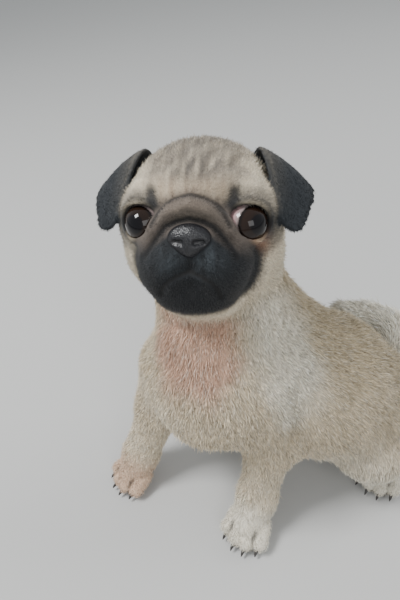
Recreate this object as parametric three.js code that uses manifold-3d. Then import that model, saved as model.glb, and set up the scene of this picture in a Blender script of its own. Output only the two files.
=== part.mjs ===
// A pug puppy about eight weeks old, sitting, life-size, in millimetres, +Z up.
// The puppy's front half looks along -Y and its left side is +X. The floor is z = 0.
// Its flesh is one smooth form, a blend of balls, bones and pebbles. It is meshed once
// for each region, and thin flat cuts part it into the pieces that a person would name.

import * as THREE from 'three';
import { mergeVertices } from 'three/addons/utils/BufferGeometryUtils.js';
import Module from 'manifold-3d';

const wasm = await Module();
wasm.setup();

// Driving dimensions
const GAP = 0.3;               // clearance between neighbouring pieces
const HEAD_CELL = 4.6;         // mesh step on the head
const PAW_CELL = 4.0;          // mesh step on the paws
const BODY_CELL = 7.4;         // mesh step on the trunk, legs and tail
const HEAD_LOW = [-80, -40, 120];
const HEAD_HIGH = [45, 95, 240];
const BODY_LOW = [-100, -90, -12];
const BODY_HIGH = [130, 175, 200];
const SOLE_SINK = 1.2;         // how far each sole and the rump are flattened by the floor

// Head, in its own frame: the face looks along -Y, the puppy's left is +X, the crown is +Z
const HEAD_AT = [-24, 28, 181];
const HEAD_YAW = 48;           // degrees, turned to the puppy's left
const HEAD_PITCH = -27;        // degrees, the face lifted
const HEAD_ROLL = 2;           // degrees
const EYE_AT = [24, -24, 1];
const EYE_RADIUS = 9.6;
const NOSE_AT = [0, -42, -4];
const NOSE_SIZE = [9, 5.5, 6.8];
const NOSTRIL_AT = [3.2, -46.8, -5.6];
const MOUTH = [[0, -20], [6, -23.5], [12, -28], [13.5, -33.5]];  // left half, x and z, from the lip's apex

// Joints of the body, left and right, from the pose
const RIBS_AT = [-4, 17, 99];
const LOIN_AT = [24, 68, 66];
const RUMP_AT = [33, 91, 41];
const NECK_AT = [-12, 24, 132];
const NAPE = [[-17, 38, 146], [-2, 47, 103]];
const FORELEGS = {
  left: { shoulder: [20, 18, 92], elbow: [31, 22, 60], wrist: [37, 4, 21], toes: [48, -21, 0] },
  right: { shoulder: [-26, -2, 92], elbow: [-32, -14, 60], wrist: [-34, -37, 21], toes: [-32, -60, 0] },
};
const HINDLEGS = {
  left: { hip: [44, 98, 48], knee: [63, 73, 34], hock: [61, 100, 13], toes: [74, 67, 0] },
  right: { hip: [12, 108, 48], knee: [-8, 98, 36], hock: [8, 128, 13], toes: [-24, 104, 0] },
};
const TAIL = [[33, 109, 62], [35, 120, 73], [28, 124, 84], [15, 117, 87], [5, 107, 87]];

// Vector helpers on plain triples
const add = (a, b) => a.map((v, i) => v + b[i]);
const sub = (a, b) => a.map((v, i) => v - b[i]);
const scale = (a, s) => a.map((v) => v * s);
const mix = (a, b, t) => a.map((v, i) => v + (b[i] - v) * t);
const length = (a) => Math.hypot(a[0], a[1], a[2]);
const unit = (a) => scale(a, 1 / length(a));

const headTurn = new THREE.Matrix4().makeRotationFromEuler(new THREE.Euler(
  THREE.MathUtils.degToRad(HEAD_PITCH),
  THREE.MathUtils.degToRad(HEAD_ROLL),
  THREE.MathUtils.degToRad(HEAD_YAW),
  'ZXY',
));
const headFrame = new THREE.Matrix4().makeTranslation(...HEAD_AT).multiply(headTurn);
const intoHead = headFrame.clone().invert();
const moved = (matrix, p) => new THREE.Vector3(...p).applyMatrix4(matrix).toArray();

// Signed distance of each simple form: negative inside
const ball = (c, r) => (p) => Math.hypot(p[0] - c[0], p[1] - c[1], p[2] - c[2]) - r;

function pebble(c, r) {
  return (p) => {
    const q = [(p[0] - c[0]) / r[0], (p[1] - c[1]) / r[1], (p[2] - c[2]) / r[2]];
    const near = length(q);
    const slope = Math.hypot(q[0] / r[0], q[1] / r[1], q[2] / r[2]);
    return slope < 1e-9 ? -Math.min(...r) : (near * (near - 1)) / slope;
  };
}

function bone(a, b, ra, rb) {
  const along = sub(b, a);
  const square = along[0] ** 2 + along[1] ** 2 + along[2] ** 2;
  return (p) => {
    const t = ((p[0] - a[0]) * along[0] + (p[1] - a[1]) * along[1] + (p[2] - a[2]) * along[2]) / square;
    const s = Math.min(1, Math.max(0, t));
    const q = [p[0] - a[0] - along[0] * s, p[1] - a[1] - along[1] * s, p[2] - a[2] - along[2] * s];
    return length(q) - (ra + (rb - ra) * s);
  };
}

function cord(points, ra, rb) {
  const bones = points.slice(1).map((end, i) => {
    const from = ra + ((rb - ra) * i) / (points.length - 1);
    const to = ra + ((rb - ra) * (i + 1)) / (points.length - 1);
    return bone(points[i], end, from, to);
  });
  return (p) => Math.min(...bones.map((form) => form(p)));
}

// Smooth joining and smooth carving over a width k
function blend(a, b, k) {
  const h = Math.max(k - Math.abs(a - b), 0) / k;
  return Math.min(a, b) - (h * h * k) / 4;
}
const carve = (a, b, k) => -blend(-a, b, k);

// A form is [distance, blend width], and a negative width carves the form away
function gather(forms) {
  return (p) => forms.reduce((f, [form, k]) => {
    if (f === null) return form(p);
    return k > 0 ? blend(f, form(p), k) : carve(f, form(p), -k);
  }, null);
}

// The same form on both sides: 1 is the puppy's left, -1 its right
const both = (make) => [1, -1].map(make);

// The head without ears, eyes and nose leather, in the head's frame
const headForms = [
  [pebble([0, 9, 3], [37, 38, 35]), 1],
  [pebble([0, -9, 9], [30, 24, 22]), 14],
  ...both((s) => [pebble([s * 20, 0, -15], [19, 23, 21]), 12]),
  ...both((s) => [pebble([s * 26, -12, 2], [12.5, 13, 13]), 8]),
  ...both((s) => [pebble([s * 11, -30, -19], [14.5, 14, 15]), 8]),
  [pebble([0, -26, -34], [17, 13, 9]), 9],
  [pebble([0, -33, -5], [14, 9, 9]), 8],
  ...both((s) => [cord([
    [0, -40, 6], [s * 9, -39, 4.5], [s * 17, -35, -1], [s * 22, -31, -9], [s * 24, -26, -18],
  ], 4.6, 3.6), 4]),
  ...both((s) => [cord([[s * 7, -29, 16], [s * 15, -26.5, 18], [s * 24, -23, 14]], 3.6, 3), 9]),
];
const headSurface = gather(headForms);
const headField = (p) => headSurface(moved(intoHead, p));

// One paw: a pad with four toes side by side, aimed from the wrist to the toe tips
function pawForms(wrist, toes) {
  const aim = unit([toes[0] - wrist[0], toes[1] - wrist[1], 0]);
  const side = [-aim[1], aim[0], 0];
  const reach = Math.hypot(toes[0] - wrist[0], toes[1] - wrist[1]);
  const at = (forward, across, up) => [
    toes[0] + aim[0] * forward + side[0] * across,
    toes[1] + aim[1] * forward + side[1] * across,
    up,
  ];
  const toeForms = [-1.5, -0.5, 0.5, 1.5].map((place) => {
    const back = Math.abs(place) > 1 ? -8.5 : -5;
    return [bone(at(back - 9, place * 5.2, 9.5), at(back, place * 7, 6), 6.2, 5.4), 2.5];
  });
  return [[bone(at(-reach, 0, wrist[2]), at(-15, 0, 10), 11.5, 10.5), 8], ...toeForms];
}

function forelegForms({ shoulder, elbow, wrist, toes }) {
  return [
    [bone(shoulder, elbow, 21, 15.5), 14],
    [bone(elbow, wrist, 14.5, 11.5), 10],
    ...pawForms(wrist, toes),
  ];
}

function hindlegForms({ hip, knee, hock, toes }) {
  return [
    [bone(hip, knee, 27, 20), 14],
    [bone(knee, hock, 15, 11), 10],
    ...pawForms([hock[0], hock[1], 12], toes),
  ];
}

const bodyForms = [
  [bone(RIBS_AT, LOIN_AT, 38, 41.5), 1],
  [bone(LOIN_AT, RUMP_AT, 41.5, 37), 16],
  [pebble([0, 0, 86], [31, 26, 27]), 18],
  [bone(NAPE[0], NAPE[1], 22, 33), 16],
  [bone(NECK_AT, mix(NECK_AT, HEAD_AT, 0.7), 30, 27), 16],
  [bone(RIBS_AT, NECK_AT, 34, 30), 14],
  ...forelegForms(FORELEGS.left),
  ...forelegForms(FORELEGS.right),
  ...hindlegForms(HINDLEGS.left),
  ...hindlegForms(HINDLEGS.right),
  [cord(TAIL, 8.5, 7.5), 7],
];
const bodySurface = gather(bodyForms);
const NECK_BLEND = 12;
const fleshField = (p) => blend(headField(p), bodySurface(p), NECK_BLEND);
// The floor presses the soles and the rump flat
const flesh = (p) => Math.max(fleshField([p[0], p[1], p[2] - SOLE_SINK]), -p[2]);

// The corners, edges and faces of a cell. A face lists its corners in order round it.
const CORNERS = [0, 1, 2, 3, 4, 5, 6, 7].map((n) => [n & 1, (n >> 1) & 1, (n >> 2) & 1]);
const STEPS = [[1, 0, 0], [0, 1, 0], [0, 0, 1]];
const cornerNumber = (c) => c[0] + 2 * c[1] + 4 * c[2];
const edgeName = (a, b) => (a < b ? a * 8 + b : b * 8 + a);
const CELL_EDGES = CORNERS.flatMap((c, n) => STEPS
  .filter((step, axis) => c[axis] === 0)
  .map((step) => [n, cornerNumber(add(c, step))]));
const CELL_FACES = [0, 1, 2].flatMap((axis) => [0, 1].map((level) => {
  const u = STEPS[(axis + 1) % 3];
  const v = STEPS[(axis + 2) % 3];
  const base = scale(STEPS[axis], level);
  return [base, add(base, u), add(add(base, u), v), add(base, v)].map(cornerNumber);
}));

// Which of a cell's crossed edges belong to one sheet of the surface
function sheets(inside) {
  const sheetOf = new Map();
  CELL_EDGES.forEach(([a, b]) => {
    if (inside[a] !== inside[b]) sheetOf.set(edgeName(a, b), edgeName(a, b));
  });
  const join = (a, b) => {
    const from = sheetOf.get(a);
    const to = sheetOf.get(b);
    sheetOf.forEach((sheet, edge) => { if (sheet === from) sheetOf.set(edge, to); });
  };
  CELL_FACES.forEach((face) => {
    const around = face.map((corner, n) => edgeName(corner, face[(n + 1) % 4]));
    const crossed = around.filter((edge) => sheetOf.has(edge));
    if (crossed.length === 2) join(crossed[0], crossed[1]);
    if (crossed.length === 4) {
      face.forEach((corner, n) => { if (inside[corner]) join(around[n], around[(n + 3) % 4]); });
    }
  });
  return sheetOf;
}

// Two faces for a quad, split along its shorter diagonal
function twoFaces([a, b, c, d], positions) {
  const point = (n) => positions.slice(3 * n, 3 * n + 3);
  const across = length(sub(point(a), point(c)));
  return across <= length(sub(point(b), point(d))) ? [a, b, c, a, c, d] : [b, c, d, b, d, a];
}

// A point moved onto the surface, by no more than a part of the cell
function settle(field, p, most) {
  const step = 0.3;
  const here = field(p);
  const slope = STEPS.map((way) => (field(add(p, scale(way, step))) - here) / step);
  const steep = Math.max(length(slope), 0.3);
  const move = Math.max(-most, Math.min(most, here / steep));
  return sub(p, scale(slope, move / steep));
}

// Surface nets: a vertex for each sheet of the surface in a cell, and a quad for each crossed edge
function mesh(field, low, high, cell) {
  const count = low.map((v, i) => Math.ceil((high[i] - v) / cell) + 1);
  const at = (i, j, k) => (k * count[1] + j) * count[0] + i;
  const everyNode = (last, visit) => {
    for (let k = 0; k < count[2] - last; k += 1) {
      for (let j = 0; j < count[1] - last; j += 1) {
        for (let i = 0; i < count[0] - last; i += 1) visit(i, j, k);
      }
    }
  };
  const values = new Float64Array(count[0] * count[1] * count[2]);
  everyNode(0, (i, j, k) => {
    const rim = [i, j, k].some((n, axis) => n === 0 || n === count[axis] - 1);
    const value = field([low[0] + i * cell, low[1] + j * cell, low[2] + k * cell]);
    values[at(i, j, k)] = rim ? Math.max(value, cell / 2) : value;
  });
  const vertexOf = new Map();
  const positions = [];
  everyNode(1, (i, j, k) => {
    const around = CORNERS.map((c) => values[at(i + c[0], j + c[1], k + c[2])]);
    const inside = around.map((value) => value < 0);
    if (inside.every((v) => v === inside[0])) return;
    const sheetOf = sheets(inside);
    for (const sheet of new Set(sheetOf.values())) {
      const crossings = CELL_EDGES.filter(([a, b]) => sheetOf.get(edgeName(a, b)) === sheet)
        .map(([a, b]) => mix(CORNERS[a], CORNERS[b], around[a] / (around[a] - around[b])));
      const mean = scale(crossings.reduce(add), 1 / crossings.length);
      sheetOf.forEach((own, edge) => {
        if (own === sheet) vertexOf.set(at(i, j, k) * 64 + edge, positions.length / 3);
      });
      const rough = add(low, scale(add([i, j, k], mean), cell));
      positions.push(...settle(field, rough, cell / 4));
    }
  });
  const faces = [];
  everyNode(1, (i, j, k) => {
    STEPS.forEach((step, axis) => {
      const here = values[at(i, j, k)] < 0;
      const there = values[at(i + step[0], j + step[1], k + step[2])] < 0;
      if (here === there) return;
      const u = STEPS[(axis + 1) % 3];
      const v = STEPS[(axis + 2) % 3];
      const quad = [[0, 0], [1, 0], [1, 1], [0, 1]].map(([m, n]) => {
        const corner = add(scale(u, m), scale(v, n));
        const edge = edgeName(cornerNumber(corner), cornerNumber(add(corner, step)));
        return vertexOf.get(at(i - corner[0], j - corner[1], k - corner[2]) * 64 + edge);
      });
      if (!here) quad.reverse();
      faces.push(...twoFaces(quad, positions));
    });
  });
  const geometry = new THREE.BufferGeometry();
  geometry.setAttribute('position', new THREE.Float32BufferAttribute(positions, 3));
  geometry.setIndex(faces);
  return geometry;
}

// Between three.js geometry and closed solids
function solid(geometry, matrix = new THREE.Matrix4()) {
  const plain = geometry.clone().applyMatrix4(matrix);
  plain.deleteAttribute('normal');
  plain.deleteAttribute('uv');
  const merged = mergeVertices(plain, 1e-4);
  return new wasm.Manifold(new wasm.Mesh({
    numProp: 3,
    vertProperties: new Float32Array(merged.attributes.position.array),
    triVerts: new Uint32Array(merged.index.array),
  }));
}

// Corners closer than WELD become one, and the faces that this closes up are dropped
const WELD = 0.02;
function geometryOf(body) {
  const { vertProperties, triVerts } = body.getMesh();
  const geometry = new THREE.BufferGeometry();
  geometry.setAttribute('position', new THREE.BufferAttribute(vertProperties, 3));
  geometry.setIndex(new THREE.BufferAttribute(triVerts, 1));
  const merged = mergeVertices(geometry, WELD);
  const kept = new Map();
  for (let i = 0; i < merged.index.count; i += 3) {
    const face = [0, 1, 2].map((n) => merged.index.getX(i + n));
    const key = [...face].sort((m, n) => m - n).join();
    if (new Set(face).size === 3 && !kept.delete(key)) kept.set(key, face);
  }
  merged.setIndex([...kept.values()].flat());
  merged.computeVertexNormals();
  return merged;
}

const largest = (body) => body.decompose().reduce((a, b) => (b.volume() > a.volume() ? b : a));

// A thick block whose lower face lies on a plane: what is beyond the plane
const BLOCK = 400;
function beyond(point, normal, shift = 0) {
  const turn = new THREE.Quaternion().setFromUnitVectors(new THREE.Vector3(0, 0, 1), new THREE.Vector3(...unit(normal)));
  const centre = add(point, scale(unit(normal), BLOCK / 2 + shift));
  const matrix = new THREE.Matrix4().compose(new THREE.Vector3(...centre), turn, new THREE.Vector3(1, 1, 1));
  return solid(new THREE.BoxGeometry(BLOCK, BLOCK, BLOCK), matrix);
}

// A box from one corner to the other, grown on all sides
function box(low, high, grow = 0) {
  const size = sub(high, low).map((v) => v + 2 * grow);
  return solid(new THREE.BoxGeometry(...size), new THREE.Matrix4().makeTranslation(...mix(low, high, 0.5)));
}

// Ears: a flap that rises from its root, folds over and hangs forward to its tip, leaving a cup
const EAR = {
  root: [[25, 3, 27], [41, 13, 3]],
  fold: [[27, -3, 46], [64, 10, 26]],
  tip: [42, -19, -7],
  tipWidth: 9,
  thickness: 3,
};
const EAR_ACROSS = 8;
const EAR_ALONG = 12;
function earGeometry(side) {
  const flip = (p) => [p[0] * side, p[1], p[2]];
  const middle = (u, v) => {
    const root = mix(EAR.root[0], EAR.root[1], u);
    const crown = add(mix(EAR.fold[0], EAR.fold[1], u), [0, -2, 6 * Math.sin(Math.PI * u)]);
    const spread = scale(unit(sub(EAR.fold[1], EAR.fold[0])), (u - 0.5) * EAR.tipWidth);
    const hang = add(EAR.tip, add(spread, [0, 0, 4 * (2 * u - 1) ** 2]));
    return add(add(scale(root, (1 - v) ** 2), scale(crown, 2 * v * (1 - v))), scale(hang, v * v));
  };
  const points = [];
  const index = (face, i, j) => (face * (EAR_ACROSS + 1) + i) * (EAR_ALONG + 1) + j;
  for (const face of [1, -1]) {
    for (let i = 0; i <= EAR_ACROSS; i += 1) {
      for (let j = 0; j <= EAR_ALONG; j += 1) {
        const u = i / EAR_ACROSS;
        const v = j / EAR_ALONG;
        const du = sub(middle(u + 0.01, v), middle(u - 0.01, v));
        const dv = sub(middle(u, v + 0.01), middle(u, v - 0.01));
        const normal = new THREE.Vector3(...du).cross(new THREE.Vector3(...dv)).normalize().toArray();
        const edge = Math.min(1, 4 * Math.min(u, 1 - u) + 0.45, 5 * (1 - v) + 0.45);
        points.push(...flip(add(middle(u, v), scale(normal, (face * edge * EAR.thickness) / 2))));
      }
    }
  }
  const faces = [];
  const quad = (a, b, c, d) => faces.push(a, b, c, a, c, d);
  for (let i = 0; i < EAR_ACROSS; i += 1) {
    for (let j = 0; j < EAR_ALONG; j += 1) {
      quad(index(0, i, j), index(0, i + 1, j), index(0, i + 1, j + 1), index(0, i, j + 1));
      quad(index(1, i, j), index(1, i, j + 1), index(1, i + 1, j + 1), index(1, i + 1, j));
    }
    quad(index(0, i + 1, 0), index(0, i, 0), index(1, i, 0), index(1, i + 1, 0));
    quad(index(0, i, EAR_ALONG), index(0, i + 1, EAR_ALONG), index(1, i + 1, EAR_ALONG), index(1, i, EAR_ALONG));
  }
  for (let j = 0; j < EAR_ALONG; j += 1) {
    quad(index(0, 0, j), index(0, 0, j + 1), index(1, 0, j + 1), index(1, 0, j));
    quad(index(0, EAR_ACROSS, j + 1), index(0, EAR_ACROSS, j), index(1, EAR_ACROSS, j), index(1, EAR_ACROSS, j + 1));
  }
  if (side < 0) faces.reverse();
  const geometry = new THREE.BufferGeometry();
  geometry.setAttribute('position', new THREE.Float32BufferAttribute(points, 3));
  geometry.setIndex(faces);
  return geometry;
}

// A round or oval ball in the head's frame
function headBall(centre, size, detail) {
  const matrix = headFrame.clone().multiply(new THREE.Matrix4().compose(
    new THREE.Vector3(...centre), new THREE.Quaternion(), new THREE.Vector3(...size),
  ));
  return solid(new THREE.SphereGeometry(1, 2 * detail, detail), matrix);
}
const mirrored = (p, side) => [p[0] * side, p[1], p[2]];
const ballSize = (r) => [r, r, r];

// The point of the head's surface straight in front of x and z, in the head's frame
function onFace(x, z) {
  let [out, inn] = [-70, 0];
  for (let n = 0; n < 24; n += 1) {
    const y = (out + inn) / 2;
    if (headSurface([x, y, z]) > 0) out = y; else inn = y;
  }
  return [x, inn, z];
}

// A groove of round section along points of the face
const GROOVE_RADIUS = 1.1;
const GROOVE_SIDES = 6;
function groove(points) {
  const path = new THREE.CatmullRomCurve3(points.map(([x, z]) => new THREE.Vector3(...onFace(x, z))));
  const round = new THREE.Shape();
  for (let n = 0; n < GROOVE_SIDES; n += 1) {
    const turn = (n * 2 * Math.PI) / GROOVE_SIDES;
    const at = [GROOVE_RADIUS * Math.cos(turn), GROOVE_RADIUS * Math.sin(turn)];
    if (n === 0) round.moveTo(...at); else round.lineTo(...at);
  }
  round.closePath();
  const tube = new THREE.ExtrudeGeometry(round, { steps: 4 * points.length, extrudePath: path, bevelEnabled: false });
  return solid(tube, headFrame);
}

// A soft rim of lid round each eye
const LID_TUBE = 1.9;
function lid(side) {
  const ring = new THREE.TorusGeometry(EYE_RADIUS - 1.2, LID_TUBE, 5, 14);
  const away = side * 38;
  const turn = new THREE.Matrix4().makeRotationZ(THREE.MathUtils.degToRad(away))
    .multiply(new THREE.Matrix4().makeRotationX(Math.PI / 2));
  const centre = add(mirrored(EYE_AT, side), [side * 2.6, -3.6, 0]);
  return solid(ring, headFrame.clone().multiply(new THREE.Matrix4().makeTranslation(...centre)).multiply(turn));
}

// Where the flesh is parted
const HEAD_CUT = { at: mix(NECK_AT, HEAD_AT, 0.42), normal: sub(HEAD_AT, NECK_AT) };
const NECK_CUT = { at: add(RIBS_AT, [0, 4, 26]), normal: [-0.2, -0.25, 1] };
const WAIST_CUT = { at: mix(RIBS_AT, LOIN_AT, 0.8), normal: sub(LOIN_AT, RIBS_AT) };
const TAIL_CUT = { at: add(TAIL[0], [0, 2, 6]), normal: sub(TAIL[0], RUMP_AT) };
const TAIL_BOX = [[-15, 97, 66], [60, 160, 120]];
const THIGH_FRONT = { at: mix(LOIN_AT, RUMP_AT, 0.2), normal: sub(RUMP_AT, LOIN_AT) };
const FORELEG_TOP = 62;
const FORELEG_WIDTH = 48;
const THIGH_SIDE = 22;           // from the middle of the rump out to the cut of each thigh
const THIGH_TOP = 74;
const HINDPAW_TOP = 21;

// A box along a bone, as wide and thick as asked, reaching past both ends
function sleeve(from, to, width, before, after, grow = 0) {
  const aim = unit(sub(to, from));
  const turn = new THREE.Quaternion().setFromUnitVectors(new THREE.Vector3(0, 0, 1), new THREE.Vector3(...aim));
  const long = length(sub(to, from)) + before + after;
  const centre = add(from, scale(aim, long / 2 - before));
  const matrix = new THREE.Matrix4().compose(new THREE.Vector3(...centre), turn, new THREE.Vector3(1, 1, 1));
  return solid(new THREE.BoxGeometry(width + 2 * grow, width + 2 * grow, long + 2 * grow), matrix);
}

const materials = {
  fawn: new THREE.MeshStandardMaterial({ color: 0xd2bf9d, roughness: 0.9, metalness: 0 }),
  mask: new THREE.MeshStandardMaterial({ color: 0x26282b, roughness: 0.75, metalness: 0 }),
  velvet: new THREE.MeshStandardMaterial({ color: 0x33373a, roughness: 0.8, metalness: 0 }),
  leather: new THREE.MeshStandardMaterial({ color: 0x141416, roughness: 0.4, metalness: 0 }),
  eye: new THREE.MeshStandardMaterial({ color: 0x17100c, roughness: 0.08, metalness: 0 }),
};

const puppy = new THREE.Group();
function place(name, body, material) {
  const item = new THREE.Mesh(geometryOf(largest(body)), material);
  item.name = name;
  puppy.add(item);
}

// Body in coarse cells: each piece is cut off in turn, and what is left stays clear of it
const aboveFloor = box([-200, -200, 0], [200, 300, 400]);
let trunk = solid(mesh(flesh, BODY_LOW, BODY_HIGH, BODY_CELL));
trunk = trunk.intersect(aboveFloor);
function partOff(region, grownRegion) {
  const piece = largest(trunk.intersect(region));
  trunk = trunk.subtract(grownRegion);
  return piece;
}
const partBeyond = ({ at, normal }) => partOff(beyond(at, normal), beyond(at, normal, -GAP));

const neckAndHead = partBeyond(NECK_CUT);
place('neck', neckAndHead.subtract(beyond(HEAD_CUT.at, HEAD_CUT.normal, -GAP / 2)), materials.fawn);

// The head in fine cells, with sockets for the eyes and a bed for the nose leather
let head = solid(mesh(flesh, HEAD_LOW, HEAD_HIGH, HEAD_CELL))
  .intersect(beyond(HEAD_CUT.at, HEAD_CUT.normal, GAP / 2));
for (const side of [1, -1]) {
  head = head.add(lid(side)).subtract(headBall(mirrored(EYE_AT, side), ballSize(EYE_RADIUS + GAP), 8));
  head = head.subtract(groove(MOUTH.map(([x, z]) => [x * side, z])));
}
head = head.subtract(groove([[0, MOUTH[0][1] + 1], [0, -14], [0, -11]]));
head = head.subtract(headBall(NOSE_AT, NOSE_SIZE.map((v) => v + GAP), 8));
place('head', head, materials.mask);

// The ears are cut clear of a head that is larger by the gap
const aroundHead = solid(mesh((p) => flesh(p) - GAP, HEAD_LOW, HEAD_HIGH, 2 * HEAD_CELL));
let nose = headBall(NOSE_AT, NOSE_SIZE, 8);
for (const [side, name] of [[1, 'left'], [-1, 'right']]) {
  const ear = solid(earGeometry(side), headFrame).subtract(aroundHead).subtract(head);
  place(`ear_${name}`, ear, materials.velvet);
  place(`eye_${name}`, headBall(mirrored(EYE_AT, side), ballSize(EYE_RADIUS), 8), materials.eye);
  nose = nose.subtract(headBall(mirrored(NOSTRIL_AT, side), [1.9, 3, 1.7], 5));
}
place('nose', nose, materials.leather);

const tailRegion = (grow) => beyond(TAIL_CUT.at, TAIL_CUT.normal, -grow).intersect(box(...TAIL_BOX, grow));
place('tail', partOff(tailRegion(0), tailRegion(GAP)), materials.fawn);

// Paws in fine cells, and the legs above them
for (const [name, leg] of Object.entries(FORELEGS)) {
  const reach = [[leg.wrist[0] - 40, leg.wrist[1] - 45, -8], [leg.wrist[0] + 40, leg.wrist[1] + 30, 44]];
  const paw = solid(mesh(flesh, ...reach, PAW_CELL))
    .intersect(aboveFloor)
    .intersect(sleeve(leg.wrist, [leg.wrist[0], leg.wrist[1], 0], 90, 0, 10));
  place(`forepaw_${name}`, paw, materials.fawn);
  const region = (grow) => sleeve(
    [leg.elbow[0], leg.elbow[1], FORELEG_TOP], [leg.wrist[0], leg.wrist[1], 0], FORELEG_WIDTH, 0, 20, grow,
  );
  const aboveWrist = beyond([0, 0, leg.wrist[2] + GAP], [0, 0, 1]);
  place(`foreleg_${name}`, partOff(region(0).intersect(aboveWrist), region(GAP)), materials.fawn);
}
for (const [name, leg] of Object.entries(HINDLEGS)) {
  const reach = [Math.min(leg.hock[0], leg.toes[0]) - 26, Math.min(leg.hock[1], leg.toes[1]) - 26];
  const far = [Math.max(leg.hock[0], leg.toes[0]) + 26, Math.max(leg.hock[1], leg.toes[1]) + 24];
  const side = unit([leg.knee[0] + leg.hock[0] - 2 * RUMP_AT[0], leg.knee[1] + leg.hock[1] - 2 * RUMP_AT[1], 0]);
  const outside = (grow) => beyond(add(RUMP_AT, scale(side, THIGH_SIDE)), side, -grow)
    .intersect(beyond(THIGH_FRONT.at, [...THIGH_FRONT.normal.slice(0, 2), 0], -grow))
    .intersect(box([-200, -200, -50], [200, 300, THIGH_TOP], grow));
  const foot = (grow) => beyond([0, 0, HINDPAW_TOP], [0, 0, -1], -grow).intersect(outside(grow));
  const fine = solid(mesh(flesh, [...reach, -8], [...far, 44], PAW_CELL)).intersect(aboveFloor);
  place(`hindpaw_${name}`, fine.intersect(foot(0)), materials.fawn);
  trunk = trunk.subtract(foot(GAP));
  place(`thigh_${name}`, partOff(outside(0), outside(GAP)), materials.fawn);
}
place('hindquarters', partBeyond(WAIST_CUT), materials.fawn);
place('chest', trunk, materials.fawn);

// The origin is on the floor, under the middle of the whole puppy
const extent = new THREE.Box3().setFromObject(puppy);
const middle = extent.getCenter(new THREE.Vector3());
puppy.children.forEach((item) => item.geometry.translate(-middle.x, -middle.y, -extent.min.z));

export default puppy;
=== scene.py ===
# A pug puppy about eight weeks old, sitting with its head turned and lifted.
# The skin is one smooth blend of simple forms, meshed here, and the coat is
# thousands of small solid tufts that lie over it. Sizes are in millimetres.
import math

import bmesh
import bpy
import numpy as np
from mathutils import Matrix, Vector


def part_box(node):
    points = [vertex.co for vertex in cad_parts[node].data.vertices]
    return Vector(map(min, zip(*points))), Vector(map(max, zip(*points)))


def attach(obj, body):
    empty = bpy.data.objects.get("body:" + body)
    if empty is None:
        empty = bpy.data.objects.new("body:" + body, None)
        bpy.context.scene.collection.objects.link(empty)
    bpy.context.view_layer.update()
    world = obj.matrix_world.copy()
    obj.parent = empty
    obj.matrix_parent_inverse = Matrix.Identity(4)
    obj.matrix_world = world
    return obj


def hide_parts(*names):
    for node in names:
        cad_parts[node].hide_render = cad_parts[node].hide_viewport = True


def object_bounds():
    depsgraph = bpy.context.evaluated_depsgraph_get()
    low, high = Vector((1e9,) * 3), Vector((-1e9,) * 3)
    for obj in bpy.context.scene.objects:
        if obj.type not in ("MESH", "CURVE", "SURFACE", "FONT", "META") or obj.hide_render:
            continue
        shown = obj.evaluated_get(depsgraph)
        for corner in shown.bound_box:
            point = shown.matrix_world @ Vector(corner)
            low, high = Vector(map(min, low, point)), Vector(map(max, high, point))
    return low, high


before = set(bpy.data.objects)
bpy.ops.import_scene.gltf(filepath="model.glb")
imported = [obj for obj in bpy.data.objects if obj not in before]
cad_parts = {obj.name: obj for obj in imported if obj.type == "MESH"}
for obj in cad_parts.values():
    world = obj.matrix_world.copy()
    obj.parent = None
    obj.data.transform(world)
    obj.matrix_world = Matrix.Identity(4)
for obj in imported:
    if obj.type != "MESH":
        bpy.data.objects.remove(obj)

CAD_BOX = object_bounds()
MM = 0.001
rng = np.random.default_rng(8)

# Driving sizes of the puppy, the same as in its solids
HEAD_AT = (-24, 28, 181)
HEAD_YAW, HEAD_PITCH, HEAD_ROLL = 48, -27, 2
EYE_NODE_AT = (24, -24, 1)      # of the eye's solid; the eye itself sits a little further in
EYE_AT = (22.5, -24.5, 1)
EYE_RADIUS = 9.6
NOSE_AT = (0, -42, -4)
LEATHER_AT = (0, -40.4, -3.8)
LEATHER_SIZE = (9.4, 4.6, 6.4)
NOSTRIL_AT = (3.4, -44.8, -5.2)
MOUTH = ((0, -17.5), (5.5, -19.8), (9, -21.8), (12, -24.8), (13.2, -29.5))
RIBS_AT = (-4, 17, 99)
LOIN_AT = (24, 68, 66)
RUMP_AT = (33, 91, 41)
NECK_AT = (-12, 24, 132)
NAPE = ((-17, 38, 146), (-2, 47, 103))
FORELEGS = (
    dict(shoulder=(20, 18, 92), elbow=(31, 22, 60), wrist=(37, 4, 21), toes=(48, -21, 0)),
    dict(shoulder=(-26, -2, 92), elbow=(-32, -14, 60), wrist=(-34, -37, 21), toes=(-32, -60, 0)),
)
HINDLEGS = (
    dict(hip=(44, 98, 48), knee=(63, 73, 34), hock=(61, 100, 13), toes=(74, 67, 0)),
    dict(hip=(12, 108, 48), knee=(-8, 98, 36), hock=(8, 128, 13), toes=(-24, 104, 0)),
)
TAIL = ((33, 109, 62), (35, 120, 73), (28, 124, 84), (15, 117, 87), (5, 107, 87))
TAIL_RADII = (8.5, 7.5)
SOLE_SINK = 1.2                # the forms are raised by this above the sizes given here
EAR_ROOT = ((25, 3, 27), (41, 13, 3))
EAR_FOLD = ((27, -3, 46), (64, 10, 26))
EAR_TIP = (42, -19, -7)
EAR_TIP_WIDTH = 9
EAR_THICKNESS = 2.4

# The skin and the coat
CELL = 1.0
COAT_DEPTH = 1.3               # the skin lies this far inside the outline of the body
FACE_DEPTH = 0.4               # and this far inside that of the face

# The photographed view
CAMERA_AT = (151.5, -81.7, 310.0)
FOCAL_PIXELS = 486.0
FRAME_PIXELS = (400, 600)
VIEW_TURN = math.radians(60)   # from the camera's heading to the puppy's own axes
NADIR = (280.0, 850.0)         # where lines that run straight down would meet, in pixels


def vec(p):
    return np.array(p, dtype=float)


def lerp(a, b, t):
    return vec(a) + (vec(b) - vec(a)) * t


def smooth(low, high, value):
    t = np.clip((value - low) / (high - low), 0, 1)
    return t * t * (3 - 2 * t)


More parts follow.
